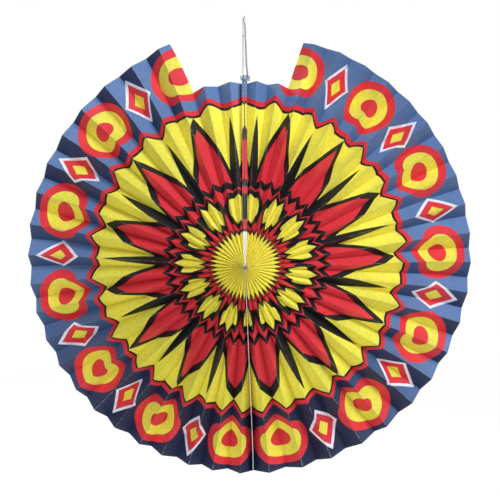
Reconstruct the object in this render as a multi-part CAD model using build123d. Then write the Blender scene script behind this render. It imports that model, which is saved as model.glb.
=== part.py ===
from build123d import *
import os
from math import asin, atan, cos, hypot, pi, radians, sin, sqrt, tan

# Driving dimensions, in millimetres and degrees. +Z is up, the printed front faces -Y,
# and the origin is the inside top of the wire eye, where a hook carries the lantern.
rim_radius = 210.0
pleats_per_half = 23
panel_width = 17.2
paper = 0.16
hub_radius = 3.6
face_slope = 28.0
glue_margin = 6.0
rim_wave = 0.5
flare_width = 44.0
notch_depth = 49.0
notch_panels = 4
notch_slant = 0.36
notch_swing = 0.5
mouth_lift = 8.0
mouth_reach = 30.0
lift_foot = 100.0
inner_stations = (0.32, 0.64)
outer_stations = (0.34, 0.67)
seam_fill = 0.85
card = 0.6
card_gap = 0.7
card_inset = 1.2
card_foot = 35.0
seam_taper = 24.0
seam_close = 0.25
tab_height = 10.0
tab_width = 11.0
tab_corner = 3.0
wire_hole = 2.8
drill_length = 2.6
wire = 1.6
wire_bend = 1.4
wire_slack = 0.58
hook_length = 3.6
hook_rise = 4.0
eye_radius = 6.5
eye_centre = 219.3
eye_pitch = 1.1
leg_share = 0.25
leg_bend = 6.0
thread = 0.7
thread_gap = 0.15
thread_reach = 0.7
knot = 1.7
knot_tilt = 35.0
knot_turn = 20.0

# Sizes that follow from them
glue_radius = rim_radius - glue_margin
cone_radius = glue_radius - flare_width
notch_radius = rim_radius - notch_depth
folds = 2 * pleats_per_half
top_seam = card_gap / 2 + card
slope = tan(radians(face_slope))
hang = eye_centre + eye_radius - wire / 2
stations = [
    hub_radius,
    card_foot,
    *[card_foot + (notch_radius - card_foot) * share for share in inner_stations],
    notch_radius,
    *[notch_radius + (glue_radius - notch_radius) * share for share in outer_stations],
    glue_radius,
    rim_radius,
]
notch_at = stations.index(notch_radius)


def steepness(r):
    q = min(max((glue_radius - r) / flare_width, 0.0), 1.0)
    return slope * (3 * q * q - 2 * q**3)


def rise(r):
    q = min(max((glue_radius - r) / flare_width, 0.0), 1.0)
    return slope * (flare_width * (q**3 - q**4 / 2) + max(cone_radius - r, 0.0))


def lift(r, turn):
    if r <= lift_foot or r >= glue_radius:
        return 0.0
    if r <= notch_radius:
        q = (r - lift_foot) / (notch_radius - lift_foot)
    else:
        q = (glue_radius - r) / (glue_radius - notch_radius)
    across = cos(pi / 2 * min(turn / radians(mouth_reach), 1.0)) ** 2
    return mouth_lift * (3 * q * q - 2 * q**3) * across


# Half the gap of the top seam: the width of the cards, closing towards the hub
def seam(r):
    share = min(max((r - hub_radius) / (seam_taper - hub_radius), 0.0), 1.0)
    return seam_close + (top_seam - seam_close) * share


# One section of the pleats at a radius: seam angle, half pitch, zigzag height, paper as met along Y
def section(r):
    start = asin(seam(r) / r)
    pitch = r * (pi - start) / folds
    across = sqrt(panel_width**2 - pitch**2) / (1 + paper / pitch)
    lean = cos(atan(steepness(r)))
    through = paper * hypot(pitch, across) / (pitch * lean)
    return start, pitch, across / lean, through


def height(r, ridge, turn):
    return rise(r) + lift(r, turn) + ridge * section(r)[2] / 2


# How far a straight cut across the flat strip runs out on a ridge, and in on a valley; the
# mouth is pulled open, so less of it shows there
def swing(r):
    if r <= hub_radius or r >= glue_radius:
        return 0.0
    lean = atan(steepness(r))
    return section(r)[2] * cos(lean) * sin(lean) / 2


# Inner and outer corner of the right-hand sheet at a fold and a station. Fold 0 lies at the
# top seam, the last at the bottom one, and one step past each is a flange's free edge.
def corner(fold, station, front):
    ridge = 1 if (fold % 2 == 1) == front else -1
    r = station + ridge * swing(station) * (notch_swing if fold <= notch_panels else 1.0)
    if station == rim_radius:
        r += rim_wave if fold % 2 else -rim_wave
    start, pitch, depth, through = section(r)
    if fold in (-1, 0, folds, folds + 1):
        at_top = fold < 1
        plane = seam(r) if at_top else 0.0
        z = sqrt(r * r - plane * plane) * (1 if at_top else -1)
        turn = start if at_top else pi
        low, high = height(r, -1, turn), height(r, 1, turn)
        free_edge = fold in (-1, folds + 1)
        if front:
            fill = min(through + paper * depth / pitch, seam_fill * depth + through)
            inner, outer = (high + through, high + through) if free_edge else (low, low + fill)
            return (plane, inner, z), (plane + paper, outer, z)
        inner, outer = (low, low) if free_edge else (high, high + through)
        return (plane + paper, inner, z), (plane, outer, z)
    turn = start + (pi - start) * fold / folds
    x, z, level = r * sin(turn), r * cos(turn), height(r, ridge, turn)
    return (x, level, z), (x, level + through, z)


def sheet(front):
    points = {}
    for fold in range(-1, folds + 2):
        for j, r in enumerate(stations):
            points[fold, j] = corner(fold, r, front)
    for j in range(notch_at + 1, len(stations)):
        share = notch_slant * (stations[j] - notch_radius) / notch_depth
        near, far = points[notch_panels, j], points[notch_panels + 1, j]
        points[notch_panels, j] = tuple(
            tuple(a + (b - a) * share for a, b in zip(p, q)) for p, q in zip(near, far)
        )
    last = len(stations) - 1
    cells = []
    for fold in range(-1, folds + 1):
        for j in range(last):
            cut_away = fold < notch_panels and j >= notch_at
            trimmed = fold == folds and not front and j >= notch_at
            if not cut_away and not trimmed:
                cells.append((fold, j))
    facing = -1 if front else 1

    def place(key, side):
        x, out, z = points[key][side]
        return (x, facing * out, z - hang)

    triangles, rim = [], {}
    for fold, j in cells:
        a, b, c, d = (fold, j), (fold + 1, j), (fold + 1, j + 1), (fold, j + 1)
        halves = ((a, b, c), (a, c, d)) if fold % 2 else ((a, b, d), (b, c, d))
        for three in halves:
            triangles.append([place(k, 1) for k in three])
            triangles.append([place(k, 0) for k in reversed(three)])
        for edge in ((a, b), (b, c), (c, d), (d, a)):
            back = (edge[1], edge[0])
            if back in rim:
                del rim[back]
            else:
                rim[edge] = True
    for p, q in rim:
        triangles.append([place(q, 1), place(p, 1), place(p, 0)])
        triangles.append([place(q, 1), place(p, 0), place(q, 0)])
    faces = [Face(Wire.make_polygon(three)) for three in triangles]
    return Solid(Shell(faces))


# Stiffening card on the white side of a seam flange, with the tab that carries the wire
def end_card(front):
    facing = -1 if front else 1
    inset = 0.0 if front else card_inset
    inner_edge, outer_edge = [], []
    for station in [r for r in stations if card_foot <= r <= notch_radius]:
        run = swing(station) * notch_swing
        low_r, high_r = station - run, station + run
        low, high = height(low_r, -1, asin(top_seam / low_r)), height(high_r, 1, asin(top_seam / high_r))
        if front:
            high += section(high_r)[3]
        low_z, high_z = sqrt(low_r**2 - top_seam**2) - hang, sqrt(high_r**2 - top_seam**2) - hang
        rake = (high_z - low_z) / (high - low)
        inner_edge.append((facing * (low + card_inset), low_z + card_inset * rake))
        outer_edge.append((facing * (high - inset), high_z - inset * rake))
    middle, half = facing * tab_offset(), facing * tab_width / 2
    root = sqrt(notch_radius**2 - top_seam**2) - hang
    tab = [
        (middle + half, root + tab_width / 2 * rake),
        (middle + half, root + tab_height - tab_corner),
        (middle + half - facing * tab_corner, root + tab_height),
        (middle - half + facing * tab_corner, root + tab_height),
        (middle - half, root + tab_height - tab_corner),
        (middle - half, root - tab_width / 2 * rake),
    ]
    outline = outer_edge + tab + inner_edge[::-1]
    blank = Face(Wire.make_polygon([(card_gap / 2, y, z) for y, z in outline]))
    plate = extrude(blank, amount=card, dir=(1, 0, 0))
    bore = Pos(top_seam, middle, hole_level() - hang) * Rot(0, 90, 0)
    return plate - bore * Cylinder(wire_hole / 2, drill_length)


def tab_offset():
    return height(notch_radius, 0, asin(top_seam / notch_radius))


def hole_level():
    return sqrt(notch_radius**2 - top_seam**2) + tab_height / 2


# Wire bail: hooked through both pairs of tabs, crossing below a round eye
def wire_bail():
    side = top_seam + wire / 2 + wire_slack
    reach, level = tab_offset(), hole_level()
    drop = hypot(reach, eye_centre - level)
    lean = atan(reach / (eye_centre - level)) + asin(eye_radius / drop)
    step = (pi + 2 * lean) / 3
    knuckle = eye_radius / cos(step / 2)
    eye = []
    for k, x in enumerate((-eye_pitch, 0.0, eye_pitch)):
        turn = -lean + step * (k + 0.5)
        eye.append((x, knuckle * cos(turn), eye_centre + knuckle * sin(turn)))
    leg_y = -reach + (eye[0][1] + reach) * leg_share
    leg_z = level + (eye[0][2] - level) * leg_share
    leg = [
        (top_seam + hook_length, -reach, level + hook_rise),
        (top_seam + hook_length, -reach, level),
        (-side, -reach, level),
        (-eye_pitch, leg_y, leg_z),
    ]
    path = leg + eye + [(-x, -y, z) for x, y, z in leg[::-1]]
    path = [(x, y, z - hang) for x, y, z in path]
    hook_bends = [wire_bend, wire_bend, leg_bend]
    bends = hook_bends + [eye_radius] * len(eye) + hook_bends[::-1]
    line = FilletPolyline(*path, radius=bends)
    start = Plane(origin=path[0], z_dir=(0, 0, -1))
    return sweep(start * Circle(wire / 2), path=line)


# Gathering thread in the hub hole, near the ends of the ridges, tied off with a knot
def gather_thread(front):
    facing = -1 if front else 1
    loop = hub_radius - thread_gap - thread / 2
    start, pitch, depth, through = section(hub_radius)
    deep = facing * (rise(hub_radius) + through / 2 + thread_reach * depth / 2)
    ring = Rot(90, 0, 0) * Torus(loop, thread / 2)
    tie = Pos(0, 0, -loop + thread) * Rot(knot_tilt, knot_turn, 0) * Sphere(knot / 2)
    return Pos(0, deep, -hang) * (ring + tie)


front_right = sheet(True)
back_right = sheet(False)
front_card = end_card(True)
back_card = end_card(False)
pieces = {
    "front_right_sheet": front_right,
    "front_left_sheet": mirror(front_right, about=Plane.YZ),
    "back_right_sheet": back_right,
    "back_left_sheet": mirror(back_right, about=Plane.YZ),
    "front_right_end_card": front_card,
    "front_left_end_card": mirror(front_card, about=Plane.YZ),
    "back_right_end_card": back_card,
    "back_left_end_card": mirror(back_card, about=Plane.YZ),
    "wire_bail": wire_bail(),
    "front_gather_thread": gather_thread(True),
    "back_gather_thread": gather_thread(False),
}
os.makedirs("parts", exist_ok=True)
for name, piece in pieces.items():
    export_step(piece, f"parts/{name}.step")
    print(name, round(piece.volume, 1), piece.is_valid, len(piece.faces()))
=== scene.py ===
import bpy
from math import asin, atan, cos, hypot, pi, radians, sin, sqrt, tan
from mathutils import Matrix, Vector


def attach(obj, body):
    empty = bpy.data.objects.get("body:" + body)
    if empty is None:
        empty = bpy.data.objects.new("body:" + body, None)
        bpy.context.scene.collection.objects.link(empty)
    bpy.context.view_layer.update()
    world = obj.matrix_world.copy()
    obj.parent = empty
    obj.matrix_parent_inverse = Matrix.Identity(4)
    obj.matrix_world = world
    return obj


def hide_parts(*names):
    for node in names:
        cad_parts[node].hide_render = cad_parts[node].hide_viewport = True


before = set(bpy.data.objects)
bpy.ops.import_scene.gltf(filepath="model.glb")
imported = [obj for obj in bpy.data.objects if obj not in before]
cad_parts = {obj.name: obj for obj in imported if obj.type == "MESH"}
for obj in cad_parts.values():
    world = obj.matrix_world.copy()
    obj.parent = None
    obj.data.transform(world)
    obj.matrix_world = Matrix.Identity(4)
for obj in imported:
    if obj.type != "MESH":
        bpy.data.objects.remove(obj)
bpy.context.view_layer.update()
print("frame loaded:", len(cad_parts), "nodes")


# one hex colour, written as it should look, to Blender's linear values
def hexColour(code):
    channels = [int(code[i:i + 2], 16) / 255 for i in (0, 2, 4)]
    linear = [c / 12.92 if c <= 0.04045 else ((c + 0.055) / 1.055) ** 2.4 for c in channels]
    return (*linear, 1.0)


# adds a node, sets its properties, and fills its sockets with values or other outputs
def addNode(tree, kind, sockets=None, **settings):
    node = tree.nodes.new(kind)
    for name, value in settings.items():
        setattr(node, name, value)
    for name, value in (sockets or {}).items():
        if isinstance(value, bpy.types.NodeSocket):
            tree.links.new(value, node.inputs[name])
        else:
            node.inputs[name].default_value = value
    return node


# a material with its shader, whose even values are given here, and its output
def newMaterial(name, sockets):
    material = bpy.data.materials.new(name)
    material.use_nodes = True
    tree = material.node_tree
    tree.nodes.clear()
    shader = addNode(tree, "ShaderNodeBsdfPrincipled", sockets)
    addNode(tree, "ShaderNodeOutputMaterial", {"Surface": shader.outputs["BSDF"]})
    return material, tree, shader


# the folded strip, in metres and degrees: the sizes of the solids, except for the hub hole,
# the notch and the valleys, and with finer steps
strip = {
    "panels": 46, "panelWidth": 0.0172, "paper": 0.00016, "hub": 0.0018, "hang": 0.225,
    "rim": 0.210, "rimWave": 0.0005, "glue": 0.204, "flare": 0.044, "slope": 28.0,
    "length": 0.234,        # hub to rim along the paper
    # the notch, and the mouth that is pulled open at it
    "notch": 0.1642, "backNotch": 0.1615, "notchPanels": 4, "notchSwing": 0.5,
    "lift": 0.008, "liftReach": 30.0, "liftFoot": 0.100,
    # half the gap of the top seam, which closes towards the hub, and its shallower valley
    "seam": 0.00095, "seamClose": 0.00025, "seamTaper": 0.024, "seamRise": 0.45,
    # front flanges: their lean, and the edge turned in over the card, left bare near the hub
    "flangeLean": 0.0012, "footLean": 0.0001, "leanMost": 0.35,
    "turnIn": 0.37, "turnPrint": 1.2, "cover": 0.0010, "coverFrom": 0.060, "bareTo": 0.029,
    # how deep the pleats open, and how far they differ from each other
    "openDepth": 0.0135, "openFrom": 0.150, "openCurve": 0.80,
    "unevenTurn": 0.10, "unevenDepth": 0.05, "bow": 0.0004,
    # how the pleats were fanned by hand, and how far the rim stands out at the notch
    "right": {"spread": -0.09, "slant": 0.30, "corner": -0.0025},
    "left": {"spread": 0.11, "slant": 0.40, "corner": 0.0045},
    "cornerPanels": 2.5,
    # rows and columns of the mesh, and the angle from which a fold stays sharp
    "panelSteps": 3, "hubRows": [0.010, 0.019], "rowFrom": 0.0385, "rowStep": 0.0125,
    "innerRows": 10, "outerRows": 7, "sharpFold": 14.0,
    "uvPanels": 50,         # panels across the print's map, flanges and a spare one counted
}


# offset-printed ink on uncoated paper: flat fields of colour, slightly mottled,
# with the ink rubbed off along the ridges of the folds, and painted shade in the valleys and on the
# blue
printInk = {
    # two of the blues are painted shade: one on every second panel, one towards the foot
    "yellow": "F6DE4A", "red": "BC2C36", "blue": "506B97", "panelShade": "202C4C",
    "footShadeBlue": "1B203C", "black": "0D0E12", "white": "F3F2EC",
    "repeats": 7,           # roundels, rays and petals in one half of the lantern
    # places and sizes on the way out from the hub, where the rim is 1
    "bandEdge": 0.690, "bandWave": 0.016, "bandLine": 0.011, "bandTrim": 0.022,
    "roundelMiddle": 0.868, "roundelSize": 0.112, "roundelRings": (0.72, 0.34),
    "lozengeHeight": 0.104, "lozengeWidth": 0.060, "lozengeRings": (0.80, 0.38),
    "rayFoot": 0.34, "rayTip": 0.675, "rayWidth": 0.86, "rayLine": 0.17,
    "dartFoot": 0.42, "dartTip": 0.66, "dartWidth": 0.22, "dartPoint": -0.01,
    "ringEdge": 0.362, "ringLine": 0.030,
    "petalMiddle": 0.245, "petalLength": 0.080, "petalFill": 0.70,
    "coreEdge": 0.140, "coreLine": 0.014,
    "flatStep": 13.0,       # mm that one panel covers as the folded band is seen
    # where painted shade darkens the blue, in panels counted from two before the top seam
    "footShadeFrom": 27, "footShadeTo": 41, "plainTo": 4.5, "evenTo": 6.0,
    "footShadeShift": 26.0,      # panels a metre to the side
    # painted shade on every second panel: its least share, and how far it reaches
    "leastPanelShade": 0.30, "panelShadeReach": 0.012,     # square metres, across times up
    "mottle": 3.5, "fibre": 1.1,    # mm; real fibres are finer, and would not show
    "mottleSpan": (0.3, 0.7), "mottleDark": 0.91, "mottleLight": 1.05,
    # painted shade in the valleys, as shares of a panel and of the way out
    "valleyShade": "1C1710", "foldShade": 0.55, "foldReach": 0.30, "shadeFrom": 0.05, "shadeTo": 0.70,
    # worn ridges, as a share of a panel on each side; wear shows less on pale inks
    "rubWidth": 0.022, "rubSpan": (0.40, 0.62), "rubAmount": 0.30, "paleRub": 0.03, "paleInk": 0.06,
    "smooth": 0.48, "rough": 0.60,
    "thinFrom": 0.20, "thinTo": 0.60,       # how light an ink is that lets light through
}


def printedPaper():
    look = printInk
    material, tree, shader = newMaterial("printedLanternPaper", {
        "IOR": 1.45, "Specular IOR Level": 0.3,
        "Subsurface Radius": (1.0, 0.95, 0.6), "Subsurface Scale": 0.0010})
    ink = {key: hexColour(look[key]) for key in ("yellow", "red", "black", "white")}
    place = addNode(tree, "ShaderNodeUVMap", uv_map="strip")
    flat = addNode(tree, "ShaderNodeSeparateXYZ", {0: place.outputs[0]})
    out = flat.outputs[1]

    # fold counts panels, with ridges at the odd numbers; spread runs from 0 in the middle
    # of a motif to 1 halfway to the next
    fold = addNode(tree, "ShaderNodeMath", {
        0: flat.outputs[0], 1: strip["uvPanels"]}, operation="MULTIPLY").outputs[0]
    turns = addNode(tree, "ShaderNodeMath", {
        0: fold, 1: look["repeats"] / strip["panels"]}, operation="MULTIPLY").outputs[0]
    swing = addNode(tree, "ShaderNodeMath", {0: turns, 1: 0.5}, operation="PINGPONG")
    spread = addNode(tree, "ShaderNodeMath", {
        0: swing.outputs[0], 1: 2.0}, operation="MULTIPLY").outputs[0]
    between = addNode(tree, "ShaderNodeMath", {
        0: 1.0, 1: spread}, operation="SUBTRACT").outputs[0]

    # rays and darts narrow to a point away from the middle
    rayReach = addNode(tree, "ShaderNodeMapRange", {
        "Value": out, "From Min": look["rayFoot"], "From Max": look["rayTip"],
        "To Min": look["rayWidth"], "To Max": -look["rayLine"]})
    ray = addNode(tree, "ShaderNodeMath", {
        0: rayReach.outputs[0], 1: spread}, operation="SUBTRACT").outputs[0]
    dartReach = addNode(tree, "ShaderNodeMapRange", {
        "Value": out, "From Min": look["dartFoot"], "From Max": look["dartTip"],
        "To Min": look["dartWidth"], "To Max": look["dartPoint"]})
    dart = addNode(tree, "ShaderNodeMath", {
        0: dartReach.outputs[0], 1: between}, operation="SUBTRACT").outputs[0]

    # the band at the rim has an edge with two waves to a motif
    waveTurn = addNode(tree, "ShaderNodeMath", {0: turns, 1: 2 * 2 * pi}, operation="MULTIPLY")
    wave = addNode(tree, "ShaderNodeMath", {0: waveTurn.outputs[0]}, operation="COSINE")
    band = addNode(tree, "ShaderNodeMath", {
        0: wave.outputs[0], 1: look["bandWave"], 2: out}, operation="MULTIPLY_ADD").outputs[0]

    # roundels and lozenges in the band: the distance from each one's middle as a share of its
    # size, with none under the notch
    plain = addNode(tree, "ShaderNodeMath", {
        0: fold, 1: look["plainTo"]}, operation="LESS_THAN").outputs[0]
    upward = addNode(tree, "ShaderNodeMath", {
        0: out, 1: look["roundelMiddle"]}, operation="SUBTRACT").outputs[0]
    motifStep = strip["panels"] / look["repeats"] / 2 * look["flatStep"] / 1000 / strip["length"]
    roundelSide = addNode(tree, "ShaderNodeMath", {
        0: spread, 1: motifStep / look["roundelSize"]}, operation="MULTIPLY")
    roundelUp = addNode(tree, "ShaderNodeMath", {
        0: upward, 1: 1 / look["roundelSize"]}, operation="MULTIPLY")
    roundelSpot = addNode(tree, "ShaderNodeCombineXYZ", {
        0: roundelSide.outputs[0], 1: roundelUp.outputs[0]})
    roundelAway = addNode(tree, "ShaderNodeVectorMath", {
        0: roundelSpot.outputs[0]}, operation="LENGTH")
    roundel = addNode(tree, "ShaderNodeMath", {
        0: roundelAway.outputs["Value"], 1: plain}, operation="ADD").outputs[0]
    lozengeUp = addNode(tree, "ShaderNodeMath", {0: upward}, operation="ABSOLUTE")
    lozengeSide = addNode(tree, "ShaderNodeMath", {
        0: between, 1: motifStep / look["lozengeWidth"]}, operation="MULTIPLY")
    lozengeAway = addNode(tree, "ShaderNodeMath", {
        0: lozengeUp.outputs[0], 1: 1 / look["lozengeHeight"], 2: lozengeSide.outputs[0]},
        operation="MULTIPLY_ADD")
    lozenge = addNode(tree, "ShaderNodeMath", {
        0: lozengeAway.outputs[0], 1: plain}, operation="ADD").outputs[0]

    # oval petals in the ring round the middle
    petalRise = addNode(tree, "ShaderNodeMath", {
        0: out, 1: look["petalMiddle"]}, operation="SUBTRACT")
    petalUp = addNode(tree, "ShaderNodeMath", {
        0: petalRise.outputs[0], 1: look["petalLength"]}, operation="DIVIDE")
    petalSpot = addNode(tree, "ShaderNodeCombineXYZ", {0: between, 1: petalUp.outputs[0]})
    petal = addNode(tree, "ShaderNodeVectorMath", {
        0: petalSpot.outputs[0]}, operation="LENGTH").outputs["Value"]

    # painted shade: the blue is darkened towards the foot of the lantern, more so on the left, and
    # every second panel gets painted shade too, most at the upper left and the lower right, and not
    # under the notch
    spots = addNode(tree, "ShaderNodeTexCoord")
    whole = addNode(tree, "ShaderNodeSeparateXYZ", {0: spots.outputs["Object"]})
    sideways = whole.outputs[0]
    footShadeFold = addNode(tree, "ShaderNodeMath", {
        0: sideways, 1: -look["footShadeShift"], 2: fold}, operation="MULTIPLY_ADD")
    footShade = addNode(tree, "ShaderNodeMapRange", {
        "Value": footShadeFold.outputs[0], "From Min": look["footShadeFrom"], "From Max": look["footShadeTo"]},
        interpolation_type="SMOOTHSTEP")
    upright = addNode(tree, "ShaderNodeMath", {
        0: whole.outputs[2], 1: strip["hang"]}, operation="ADD")
    corner = addNode(tree, "ShaderNodeMath", {
        0: sideways, 1: upright.outputs[0]}, operation="MULTIPLY")
    panelShadeDepth = addNode(tree, "ShaderNodeMapRange", {
        "Value": corner.outputs[0],
        "From Min": -look["panelShadeReach"], "From Max": look["panelShadeReach"],
        "To Min": 1.0, "To Max": look["leastPanelShade"]})
    # painted shade on every second panel, below the notch
    pair = addNode(tree, "ShaderNodeMath", {0: fold, 1: 2.0}, operation="FLOORED_MODULO")
    second = addNode(tree, "ShaderNodeMath", {
        0: pair.outputs[0], 1: 1.0}, operation="GREATER_THAN")
    below = addNode(tree, "ShaderNodeMath", {
        0: fold, 1: look["evenTo"]}, operation="GREATER_THAN")
    shadedPanels = addNode(tree, "ShaderNodeMath", {
        0: second.outputs[0], 1: below.outputs[0]}, operation="MULTIPLY")
    panelShade = addNode(tree, "ShaderNodeMath", {
        0: shadedPanels.outputs[0], 1: panelShadeDepth.outputs[0]}, operation="MULTIPLY")
    panelShadedBlue = addNode(tree, "ShaderNodeMix", {
        0: panelShade.outputs[0], 6: hexColour(look["blue"]), 7: hexColour(look["panelShade"])},
        data_type="RGBA")
    ink["blue"] = addNode(tree, "ShaderNodeMix", {
        0: footShade.outputs[0], 6: panelShadedBlue.outputs[2], 7: hexColour(look["footShadeBlue"])},
        data_type="RGBA").outputs[2]

    # the printing plates, from the first ink to the last
    trimEdge = look["bandEdge"] + look["bandLine"]
    lozengeOuter, lozengeInner = look["lozengeRings"]
    roundelOuter, roundelInner = look["roundelRings"]
    plates = (
        (ray, ">", -look["rayLine"], "black"), (ray, ">", 0.0, "red"),
        (dart, ">", 0.0, "black"),
        (band, ">", look["bandEdge"], "black"), (band, ">", trimEdge, "red"),
        (band, ">", trimEdge + look["bandTrim"], "blue"),
        (lozenge, "<", 1.0, "white"),
        (lozenge, "<", lozengeOuter, "red"), (lozenge, "<", lozengeInner, "yellow"),
        (roundel, "<", 1.0, "red"),
        (roundel, "<", roundelOuter, "yellow"), (roundel, "<", roundelInner, "red"),
        (out, "<", look["ringEdge"], "black"),
        (out, "<", look["ringEdge"] - look["ringLine"], "red"),
        (petal, "<", 1.0, "black"), (petal, "<", look["petalFill"], "yellow"),
        (out, "<", look["coreEdge"] + look["coreLine"], "black"),
        (out, "<", look["coreEdge"], "yellow"),
    )
    picture = ink["yellow"]
    for field, side, limit, inkName in plates:
        covered = addNode(tree, "ShaderNodeMath", {
            0: field, 1: limit}, operation="GREATER_THAN" if side == ">" else "LESS_THAN")
        picture = addNode(tree, "ShaderNodeMix", {
            0: covered.outputs[0], 6: picture, 7: ink[inkName]}, data_type="RGBA").outputs[2]

    # ink lies unevenly on the fibres
    mottle = addNode(tree, "ShaderNodeTexNoise", {
        "Vector": spots.outputs["Object"], "Scale": 1000 / look["mottle"], "Detail": 4.0})
    tone = addNode(tree, "ShaderNodeMapRange", {
        "Value": mottle.outputs[0],
        "From Min": look["mottleSpan"][0], "From Max": look["mottleSpan"][1],
        "To Min": look["mottleDark"], "To Max": look["mottleLight"]})
    printed = addNode(tree, "ShaderNodeHueSaturation", {
        "Value": tone.outputs[0], "Color": picture})

    # painted shade darkens the valleys near the hub, where the pleats are tight
    ridge = addNode(tree, "ShaderNodeMath", {0: fold, 1: 1.0}, operation="PINGPONG")
    deepFold = addNode(tree, "ShaderNodeMapRange", {
        "Value": ridge.outputs[0], "From Min": 0.0, "From Max": look["foldReach"],
        "To Min": 1.0, "To Max": 0.0}, interpolation_type="SMOOTHSTEP")
    tightFold = addNode(tree, "ShaderNodeMapRange", {
        "Value": out, "From Min": look["shadeFrom"], "From Max": look["shadeTo"],
        "To Min": look["foldShade"], "To Max": 0.0})
    foldShade = addNode(tree, "ShaderNodeMath", {
        0: deepFold.outputs[0], 1: tightFold.outputs[0]}, operation="MULTIPLY")
    valleyShaded = addNode(tree, "ShaderNodeMix", {
        0: foldShade.outputs[0], 6: printed.outputs[0], 7: hexColour(look["valleyShade"])},
        data_type="RGBA")

    # and the ink is worn to paper along each ridge
    fromRidge = addNode(tree, "ShaderNodeMath", {0: 1.0, 1: ridge.outputs[0]}, operation="SUBTRACT")
    ragged = addNode(tree, "ShaderNodeMapRange", {
        "Value": mottle.outputs[0], "From Min": look["rubSpan"][0], "From Max": look["rubSpan"][1],
        "To Min": 0.0, "To Max": look["rubWidth"]})
    rubbed = addNode(tree, "ShaderNodeMath", {
        0: fromRidge.outputs[0], 1: ragged.outputs[0]}, operation="LESS_THAN")
    light = addNode(tree, "ShaderNodeRGBToBW", {0: valleyShaded.outputs[2]})
    rubAmount = addNode(tree, "ShaderNodeMapRange", {
        "Value": light.outputs[0], "From Min": 0.0, "From Max": look["paleInk"],
        "To Min": look["rubAmount"], "To Max": look["paleRub"]})
    rubShare = addNode(tree, "ShaderNodeMath", {
        0: rubbed.outputs[0], 1: rubAmount.outputs[0]}, operation="MULTIPLY")
    worn = addNode(tree, "ShaderNodeMix", {
        0: rubShare.outputs[0], 6: valleyShaded.outputs[2], 7: ink["white"]}, data_type="RGBA")
    tree.links.new(worn.outputs[2], shader.inputs["Base Color"])

    # a fibrous surface, and light that comes through the pale inks
    fibre = addNode(tree, "ShaderNodeTexNoise", {
        "Vector": spots.outputs["Object"], "Scale": 1000 / look["fibre"], "Detail": 3.0})
    roughness = addNode(tree, "ShaderNodeMapRange", {
        "Value": fibre.outputs[0], "To Min": look["smooth"], "To Max": look["rough"]})
    tree.links.new(roughness.outputs[0], shader.inputs["Roughness"])
    bump = addNode(tree, "ShaderNodeBump", {
        "Height": fibre.outputs[0], "Strength": 0.12, "Distance": 0.0002})
    tree.links.new(bump.outputs[0], shader.inputs["Normal"])
    thinInk = addNode(tree, "ShaderNodeMapRange", {
        "Value": light.outputs[0], "From Min": look["thinFrom"], "From Max": look["thinTo"],
        "To Min": 0.0, "To Max": 1.0})
    tree.links.new(thinInk.outputs[0], shader.inputs["Subsurface Weight"])
    return material


# bare uncoated paper: white, faintly cloudy, with a fibrous matt surface
whitePaperLook = {
    "white": "F7F5EF", "shade": "E9E6DC",
    "cloud": 7.0, "fibre": 1.1,     # mm
}


def barePaper():
    look = whitePaperLook
    material, tree, shader = newMaterial("bareWhitePaper", {
        "Roughness": 0.85, "Subsurface Weight": 0.6,
        "Subsurface Radius": (1.0, 0.95, 0.85), "Subsurface Scale": 0.0010})
    spots = addNode(tree, "ShaderNodeTexCoord")
    cloud = addNode(tree, "ShaderNodeTexNoise", {
        "Vector": spots.outputs["Object"], "Scale": 1000 / look["cloud"], "Detail": 5.0})
    tone = addNode(tree, "ShaderNodeMix", {
        0: cloud.outputs[0], 6: hexColour(look["white"]), 7: hexColour(look["shade"])},
        data_type="RGBA")
    tree.links.new(tone.outputs[2], shader.inputs["Base Color"])
    fibre = addNode(tree, "ShaderNodeTexNoise", {
        "Vector": spots.outputs["Object"], "Scale": 1000 / look["fibre"], "Detail": 3.0})
    bump = addNode(tree, "ShaderNodeBump", {
        "Height": fibre.outputs[0], "Strength": 0.15, "Distance": 0.0002})
    tree.links.new(bump.outputs[0], shader.inputs["Normal"])
    return material


# eases a share from 0 to 1
def ease(q):
    return 3 * q * q - 2 * q**3


# the face is a cone that flattens to the rim in the flared band: its slope, then its height
def steepness(r):
    q = min(max((strip["glue"] - r) / strip["flare"], 0.0), 1.0)
    return tan(radians(strip["slope"])) * ease(q)


def rise(r):
    q = min(max((strip["glue"] - r) / strip["flare"], 0.0), 1.0)
    cone = max(strip["glue"] - strip["flare"] - r, 0.0)
    return tan(radians(strip["slope"])) * (strip["flare"] * (q**3 - q**4 / 2) + cone)


def mouthLift(r, turn):
    if r <= strip["liftFoot"] or r >= strip["glue"]:
        return 0.0
    inner, outer = strip["notch"] - strip["liftFoot"], strip["glue"] - strip["notch"]
    q = (r - strip["liftFoot"]) / inner if r <= strip["notch"] else (strip["glue"] - r) / outer
    across = cos(pi / 2 * min(turn / radians(strip["liftReach"]), 1.0)) ** 2
    return strip["lift"] * ease(q) * across


# hand-folded pleats are never quite alike: a repeatable offset for each fold, from -1 to 1
def uneven(fold, seed):
    foldTurn, seedTurn, scatter = 12.9898, 78.233, 43758.5453     # large and unrelated
    wave = sin(fold * foldTurn + seed * seedTurn) * scatter
    return 2 * (wave - int(wave // 1)) - 1


# from 0 at the hub hole to 1 where the seam has its full gap
def hubRamp(r):
    return min(max((r - strip["hub"]) / (strip["seamTaper"] - strip["hub"]), 0.0), 1.0)


def seamGap(r):
    return strip["seamClose"] + (strip["seam"] - strip["seamClose"]) * hubRamp(r)


# the pleats at a radius: the seam's angle, half a pitch, their depth, and the paper met along y
def pleatSection(r):
    start = asin(seamGap(r) / r)
    pitch = r * (pi - start) / strip["panels"]
    across = sqrt(strip["panelWidth"] ** 2 - pitch**2) / (1 + strip["paper"] / pitch)
    lean = atan(steepness(r))
    through = strip["paper"] * hypot(pitch, across) / (pitch * cos(lean))
    return start, pitch, across / cos(lean), through


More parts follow.
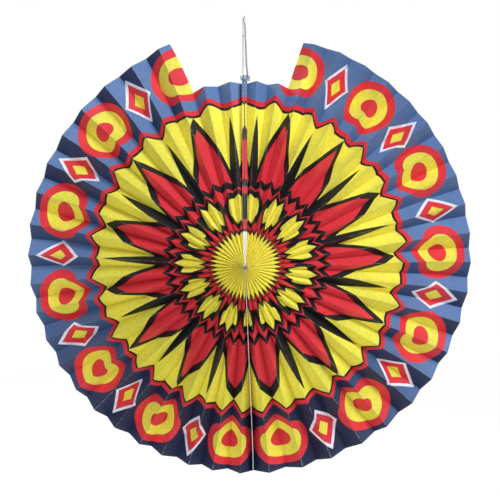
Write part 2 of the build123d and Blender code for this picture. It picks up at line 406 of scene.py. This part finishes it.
# a straight line on the flat strip runs out on the ridges and in on the valleys
def ridgeSwing(r):
    if r >= strip["glue"]:
        return 0.0
    lean = atan(steepness(r))
    return pleatSection(r)[2] * cos(lean) * sin(lean) / 2 * hubRamp(r)


# the pleats are pressed shut near the hub, so their valleys fill up there
def pleatDepth(r):
    return strip["openDepth"] * min(r / strip["openFrom"], 1.0) ** strip["openCurve"]


# a corner at the top or bottom seam: the last fold, or the flange's free edge past it
def seamCorner(fold, r, front):
    start, pitch, depth, through = pleatSection(r)
    top = fold <= 0
    free = fold < 0 or fold > strip["panels"]
    plane = seamGap(r) if top else 0.0
    z = sqrt(r * r - plane * plane) * (1 if top else -1)
    level = rise(r) + mouthLift(r, start if top else pi)
    if not front:
        return Vector((plane, level + (-depth / 2 if free else depth / 2 + through), z))
    if not free:
        low = min(strip["paper"] * depth / pitch, depth) - depth / 2
        valley = max(depth / 2 - pleatDepth(r) * (1 - strip["seamRise"] * top), low)
        return Vector((plane + strip["paper"], level + through + valley, z))
    cover = strip["cover"] * min(r / strip["coverFrom"], 1.0) * top
    edge = level + depth / 2 + through + cover
    if fold < -1:       # turned in over the card
        return Vector((plane * strip["turnIn"], edge, z))
    lean = min(strip["flangeLean"] if top else strip["footLean"], strip["leanMost"] * pitch)
    return Vector((plane + strip["paper"] + lean, edge, z))


# fold 0 is at the top seam and the last at the bottom one
def foldCorner(fold, station, front, side):
    last = strip["panels"]
    line = max(fold, -1)        # the turned-in edge goes with its flange
    ridge = 1 if (line % 2 == 1) == front else -1
    swing = strip["notchSwing"] if line <= strip["notchPanels"] else 1.0
    r = station + ridge * ridgeSwing(station) * swing
    if station >= strip["rim"]:
        r += strip["rimWave"] if line % 2 else -strip["rimWave"]
    if station > strip["notch"]:
        near = max(1 - abs(line - strip["notchPanels"]) / strip["cornerPanels"], 0.0)
        beyond = (station - strip["notch"]) / (strip["rim"] - strip["notch"])
        r += strip[side]["corner"] * near * beyond
    if fold <= 0 or fold >= last:
        return seamCorner(fold, r, front)
    start, pitch, depth, through = pleatSection(r)
    loose = min(r / strip["notch"], 1.0) * (1.0 if 1 < fold < last - 1 else 0.0)
    share = (fold + strip["unevenTurn"] * loose * uneven(fold, 1)) / last
    turn = start + (pi - start) * (share + strip[side]["spread"] * sin(pi * share) / pi)
    deep = pleatDepth(r) * (1 + strip["unevenDepth"] * loose * uneven(fold, 2))
    crest = max(depth, deep) / 2
    level = rise(r) + mouthLift(r, turn) + crest - (deep if ridge < 0 else 0.0) + through
    return Vector((r * sin(turn), level, r * cos(turn)))


# a point on the strip at any share of a panel, hollowed a little between its folds
def stripPoint(fold, station, front, side):
    low = int(fold // 1)
    share = fold - low
    start = foldCorner(low, station, front, side)
    if share == 0:
        return start
    point = start.lerp(foldCorner(low + 1, station, front, side), share)
    hollow = strip["bow"] * sin(pi * share) * min(station / strip["rim"], 1.0)
    point.y += hollow if (low % 2 == 1) == front else -hollow
    return point


# distance from the hub along the flat paper, as a share of its whole length
def printOut(station):
    flare = strip["glue"] - strip["flare"] / 2
    stretch = 1 / cos(radians(strip["slope"]))
    distance = min(station, flare) * stretch + max(station - flare, 0.0)
    return distance / (flare * stretch + strip["rim"] - flare)


def cadName(front, side):
    return f"{'front' if front else 'back'}_{side}_sheet"


def makeSheet(name, front, side, inkMaterial, paperMaterial):
    # columns of the grid are folds and steps between them, rows are distances from the hub
    flanges = [-2.0, -1.0] if front else [-1.0]
    steps = strip["panelSteps"]
    columns = flanges + [k / steps for k in range(strip["panels"] * steps + 1)]
    columns.append(strip["panels"] + 1.0)
    notch = strip["notch"] if front else strip["backNotch"]
    inner = [strip["hub"]] + strip["hubRows"] + [strip["bareTo"]]
    inner += [strip["rowFrom"] + strip["rowStep"] * k for k in range(strip["innerRows"])]
    outerRows = strip["outerRows"]
    outer = [notch + (strip["glue"] - notch) * k / outerRows for k in range(1, outerRows + 1)]
    radii = inner + [notch] + outer + [strip["rim"]]
    bpy.ops.object.select_all(action="DESELECT")
    bpy.ops.mesh.primitive_grid_add(
        x_subdivisions=len(columns) - 1, y_subdivisions=len(radii) - 1, size=2)
    sheet = bpy.context.object
    sheet.name = name
    mesh = sheet.data
    uv = mesh.uv_layers.active
    uv.name = "strip"

    # fold the grid, with the side of the notch slanting across one panel
    spots, columnOf = {}, {}
    for vertex in mesh.vertices:
        column = round((vertex.co.x + 1) / 2 * (len(columns) - 1))
        row = round((vertex.co.y + 1) / 2 * (len(radii) - 1))
        fold, r = columns[column], radii[row]
        columnOf[vertex.index] = fold
        if strip["notchPanels"] <= fold < strip["notchPanels"] + 1 and r > notch:
            slant = strip[side]["slant"] * (r - notch) / (strip["rim"] - notch)
            fold = strip["notchPanels"] + slant + (fold - strip["notchPanels"]) * (1 - slant)
        spots[vertex.index] = (fold, r)
        point = stripPoint(fold, r, front, side)
        x = point.x if side == "right" else -point.x
        y = -point.y if front else point.y
        vertex.co = (x, y, point.z - strip["hang"])
    for loop in mesh.loops:
        fold, r = spots[loop.vertex_index]
        count = max(fold, -strip["turnPrint"]) + len(flanges)   # ridges fall on the odd counts
        uv.data[loop.index].uv = (count / strip["uvPanels"], printOut(r))

    # the notch goes through the rim, and the back's lower flange is trimmed there too
    mesh.materials.append(inkMaterial)
    mesh.materials.append(paperMaterial)
    slack = 1e-6
    for polygon in mesh.polygons:
        folds = [columnOf[v] for v in polygon.vertices]
        rows = [spots[v][1] for v in polygon.vertices]
        above = min(rows) >= notch - slack
        cut = max(folds) <= strip["notchPanels"] + slack
        trimmed = min(folds) >= strip["panels"] - slack and not front
        polygon.select = above and (cut or trimmed)
        bare = front and max(folds) < 0 and max(rows) <= strip["bareTo"] + slack
        polygon.material_index = 1 if bare else 0
    for vertex in mesh.vertices:
        vertex.select = False
    for edge in mesh.edges:
        edge.select = False
    bpy.ops.object.mode_set(mode="EDIT")
    bpy.ops.mesh.select_mode(type="FACE")
    bpy.ops.mesh.delete(type="FACE")
    bpy.ops.object.mode_set(mode="OBJECT")

    # the print faces outwards, and the paper gets its thickness and a white inside
    outward = sum(p.normal.y * p.area for p in mesh.polygons)
    if (outward < 0) != front:
        bpy.ops.object.mode_set(mode="EDIT")
        bpy.ops.mesh.select_all(action="SELECT")
        bpy.ops.mesh.flip_normals()
        bpy.ops.object.mode_set(mode="OBJECT")
    wall = sheet.modifiers.new("paper", "SOLIDIFY")
    wall.thickness = strip["paper"]
    wall.offset = -1.0
    wall.material_offset = 1
    wall.material_offset_rim = 1
    bpy.ops.object.modifier_apply(modifier="paper")
    bpy.ops.object.shade_smooth_by_angle(angle=radians(strip["sharpFold"]))
    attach(sheet, "root")
    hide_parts(cadName(front, side))
    return sheet


inkOnPaper = printedPaper()
bareWhite = barePaper()
for front in (True, False):
    for side in ("right", "left"):
        piece = makeSheet("folded_" + cadName(front, side), front, side, inkOnPaper, bareWhite)
        print("folded", piece.name, len(piece.data.polygons), "faces")


# white lined card with the blue of the print pasted over its tabs
cardLook = {
    "white": "F1EDD2", "grey": "CFCBC2", "blue": "43608F", "tabFoot": -0.066,
    "fibre": 2.4,       # mm
}


def linedCard():
    look = cardLook
    material, tree, shader = newMaterial("linedCard", {"Roughness": 0.8})
    spots = addNode(tree, "ShaderNodeTexCoord")
    fibre = addNode(tree, "ShaderNodeTexNoise", {
        "Vector": spots.outputs["Object"], "Scale": 1000 / look["fibre"], "Detail": 6.0})
    board = addNode(tree, "ShaderNodeMix", {
        0: fibre.outputs[0], 6: hexColour(look["white"]), 7: hexColour(look["grey"])},
        data_type="RGBA")
    height = addNode(tree, "ShaderNodeSeparateXYZ", {0: spots.outputs["Object"]})
    tab = addNode(tree, "ShaderNodeMath", {
        0: height.outputs[2], 1: look["tabFoot"]}, operation="GREATER_THAN")
    tone = addNode(tree, "ShaderNodeMix", {
        0: tab.outputs[0], 6: board.outputs[2], 7: hexColour(look["blue"])}, data_type="RGBA")
    tree.links.new(tone.outputs[2], shader.inputs["Base Color"])
    bump = addNode(tree, "ShaderNodeBump", {
        "Height": fibre.outputs[0], "Strength": 0.2, "Distance": 0.0003})
    tree.links.new(bump.outputs[0], shader.inputs["Normal"])
    return material


# galvanised steel wire: drawn, zinc coated, dull grey with faint cloudy streaks
wireLook = {
    "zinc": "ACB2B8", "dull": "8F979E", "smooth": 0.38, "rough": 0.58,
    "streak": 3.3,      # mm
}


def zincWire():
    look = wireLook
    material, tree, shader = newMaterial("galvanisedWire", {"Metallic": 0.3})
    spots = addNode(tree, "ShaderNodeTexCoord")
    streak = addNode(tree, "ShaderNodeTexNoise", {
        "Vector": spots.outputs["Object"], "Scale": 1000 / look["streak"], "Detail": 5.0})
    tone = addNode(tree, "ShaderNodeMix", {
        0: streak.outputs[0], 6: hexColour(look["zinc"]), 7: hexColour(look["dull"])},
        data_type="RGBA")
    tree.links.new(tone.outputs[2], shader.inputs["Base Color"])
    roughness = addNode(tree, "ShaderNodeMapRange", {
        "Value": streak.outputs[0], "To Min": look["smooth"], "To Max": look["rough"]})
    tree.links.new(roughness.outputs[0], shader.inputs["Roughness"])
    return material


# cotton sewing thread: soft white, with the twist as fine slanting bands
threadLook = {
    "white": "F4F1E8", "shade": "D2CCBE",
    "twist": 0.14,      # mm from one ply to the next
}


def cottonThread():
    look = threadLook
    material, tree, shader = newMaterial("cottonThread", {"Roughness": 0.9})
    spots = addNode(tree, "ShaderNodeTexCoord")
    wavesAtOne = 10 * sqrt(3) / (2 * pi)        # diagonal bands to a unit at a scale of 1
    twist = addNode(tree, "ShaderNodeTexWave", {
        "Vector": spots.outputs["Object"],
        "Scale": 1000 / (wavesAtOne * look["twist"]), "Distortion": 1.5},
        bands_direction="DIAGONAL")
    tone = addNode(tree, "ShaderNodeMix", {
        0: twist.outputs["Fac"], 6: hexColour(look["white"]), 7: hexColour(look["shade"])},
        data_type="RGBA")
    tree.links.new(tone.outputs[2], shader.inputs["Base Color"])
    bump = addNode(tree, "ShaderNodeBump", {
        "Height": twist.outputs["Fac"], "Strength": 0.4, "Distance": 0.0001})
    tree.links.new(bump.outputs[0], shader.inputs["Normal"])
    return material


finishes = {"card": linedCard(), "bail": zincWire(), "thread": cottonThread()}
for nodeName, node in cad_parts.items():
    for word, finish in finishes.items():
        if word in nodeName:
            node.data.materials.clear()
            node.data.materials.append(finish)
print("finishes set on the cards, wire and threads")


# 1 for what the camera sees, itself or in metal and glass
def seenRays(tree):
    rays = addNode(tree, "ShaderNodeLightPath")
    mirrored = addNode(tree, "ShaderNodeMath", {
        0: rays.outputs["Is Glossy Ray"], 1: rays.outputs["Is Transmission Ray"]},
        operation="MAXIMUM")
    return addNode(tree, "ShaderNodeMath", {
        0: rays.outputs["Is Camera Ray"], 1: mirrored.outputs[0]}, operation="MAXIMUM").outputs[0]


# pale floor below the hanging lantern, seen as the white of the background
stageLook = {
    "size": 12.0, "drop": 0.66, "floor": "F4F4F2",
    "glow": 0.85, "fadeFrom": 0.5, "fadeTo": 2.2,
}


def makeFloor():
    look = stageLook
    bpy.ops.object.select_all(action="DESELECT")
    bpy.ops.mesh.primitive_plane_add(size=look["size"], location=(0, 0, -look["drop"]))
    floor = bpy.context.object
    floor.name = "floor"
    material, tree, shader = newMaterial("paleFloor", {
        "Base Color": hexColour(look["floor"]), "Roughness": 0.9})
    spot = addNode(tree, "ShaderNodeTexCoord")
    away = addNode(tree, "ShaderNodeVectorMath", {0: spot.outputs["Object"]}, operation="LENGTH")
    glow = addNode(tree, "ShaderNodeMapRange", {
        "Value": away.outputs["Value"], "From Min": look["fadeFrom"], "From Max": look["fadeTo"],
        "To Min": look["glow"], "To Max": 1.0})
    share = addNode(tree, "ShaderNodeMath", {
        0: seenRays(tree), 1: glow.outputs[0]}, operation="MULTIPLY")
    white = addNode(tree, "ShaderNodeEmission", {"Color": (1, 1, 1, 1), "Strength": 1.0})
    both = addNode(tree, "ShaderNodeMixShader", {
        0: share.outputs[0], 1: shader.outputs[0], 2: white.outputs[0]})
    output = next(n for n in tree.nodes if n.type == "OUTPUT_MATERIAL")
    tree.links.new(both.outputs[0], output.inputs["Surface"])
    floor.data.materials.append(material)


makeFloor()

# soft light from the upper right, a weak fill, one lamp for the back, and a dim white room
lightLook = {
    "middle": (0.0, 0.0, -0.225),
    "key": {"place": (1.35, -1.92, 1.62), "size": 1.2, "power": 110.0},
    "fill": {"place": (-1.10, -1.90, -0.30), "size": 1.2, "power": 20.0},
    "back": {"place": (-0.80, 1.40, 0.70), "size": 1.0, "power": 40.0},
    "room": 0.05,
}


def makeLight(name, look):
    place, middle = Vector(look["place"]), Vector(lightLook["middle"])
    bpy.ops.object.light_add(type="AREA", location=place)
    lamp = bpy.context.object
    lamp.name = name
    lamp.data.size = look["size"]
    lamp.data.energy = look["power"]
    lamp.rotation_euler = (middle - place).to_track_quat("-Z", "Y").to_euler()


def makeRoom():
    world = bpy.data.worlds.new("room")
    bpy.context.scene.world = world
    world.use_nodes = True
    tree = world.node_tree
    tree.nodes.clear()
    level = addNode(tree, "ShaderNodeMapRange", {
        "Value": seenRays(tree), "To Min": lightLook["room"], "To Max": 1.0})
    sky = addNode(tree, "ShaderNodeBackground", {
        "Color": (1, 1, 1, 1), "Strength": level.outputs[0]})
    addNode(tree, "ShaderNodeOutputWorld", {"Surface": sky.outputs[0]})


for name in ("key", "fill", "back"):
    makeLight(name + "Light", lightLook[name])
makeRoom()
print("floor, lamps and room in place")

# camera a little above and to the right of the front, with the rim's middle at its measured pixel
cameraLook = {
    "azimuth": 1.96, "elevation": 5.8, "distance": 1.8, "roll": -1.2,
    "frame": 500, "rimPixels": 220.3, "middlePixel": (248.9, 255.1),
}


def makeCamera():
    look = cameraLook
    middle = Vector(lightLook["middle"])
    side, up = radians(look["azimuth"]), radians(look["elevation"])
    back = Vector((sin(side) * cos(up), -cos(side) * cos(up), sin(up)))
    bpy.ops.object.camera_add(location=middle + back * look["distance"])
    camera = bpy.context.object
    roll = Matrix.Rotation(radians(look["roll"]), 3, "Z")
    camera.rotation_euler = ((-back).to_track_quat("-Z", "Y").to_matrix() @ roll).to_euler()
    across = look["frame"] * strip["rim"] / look["rimPixels"]
    camera.data.lens = camera.data.sensor_width * look["distance"] / across
    camera.data.shift_x = (look["frame"] / 2 - look["middlePixel"][0]) / look["frame"]
    camera.data.shift_y = (look["middlePixel"][1] - look["frame"] / 2) / look["frame"]
    bpy.context.scene.camera = camera


makeCamera()
bpy.context.scene.view_settings.view_transform = "Standard"

print("scene ready")
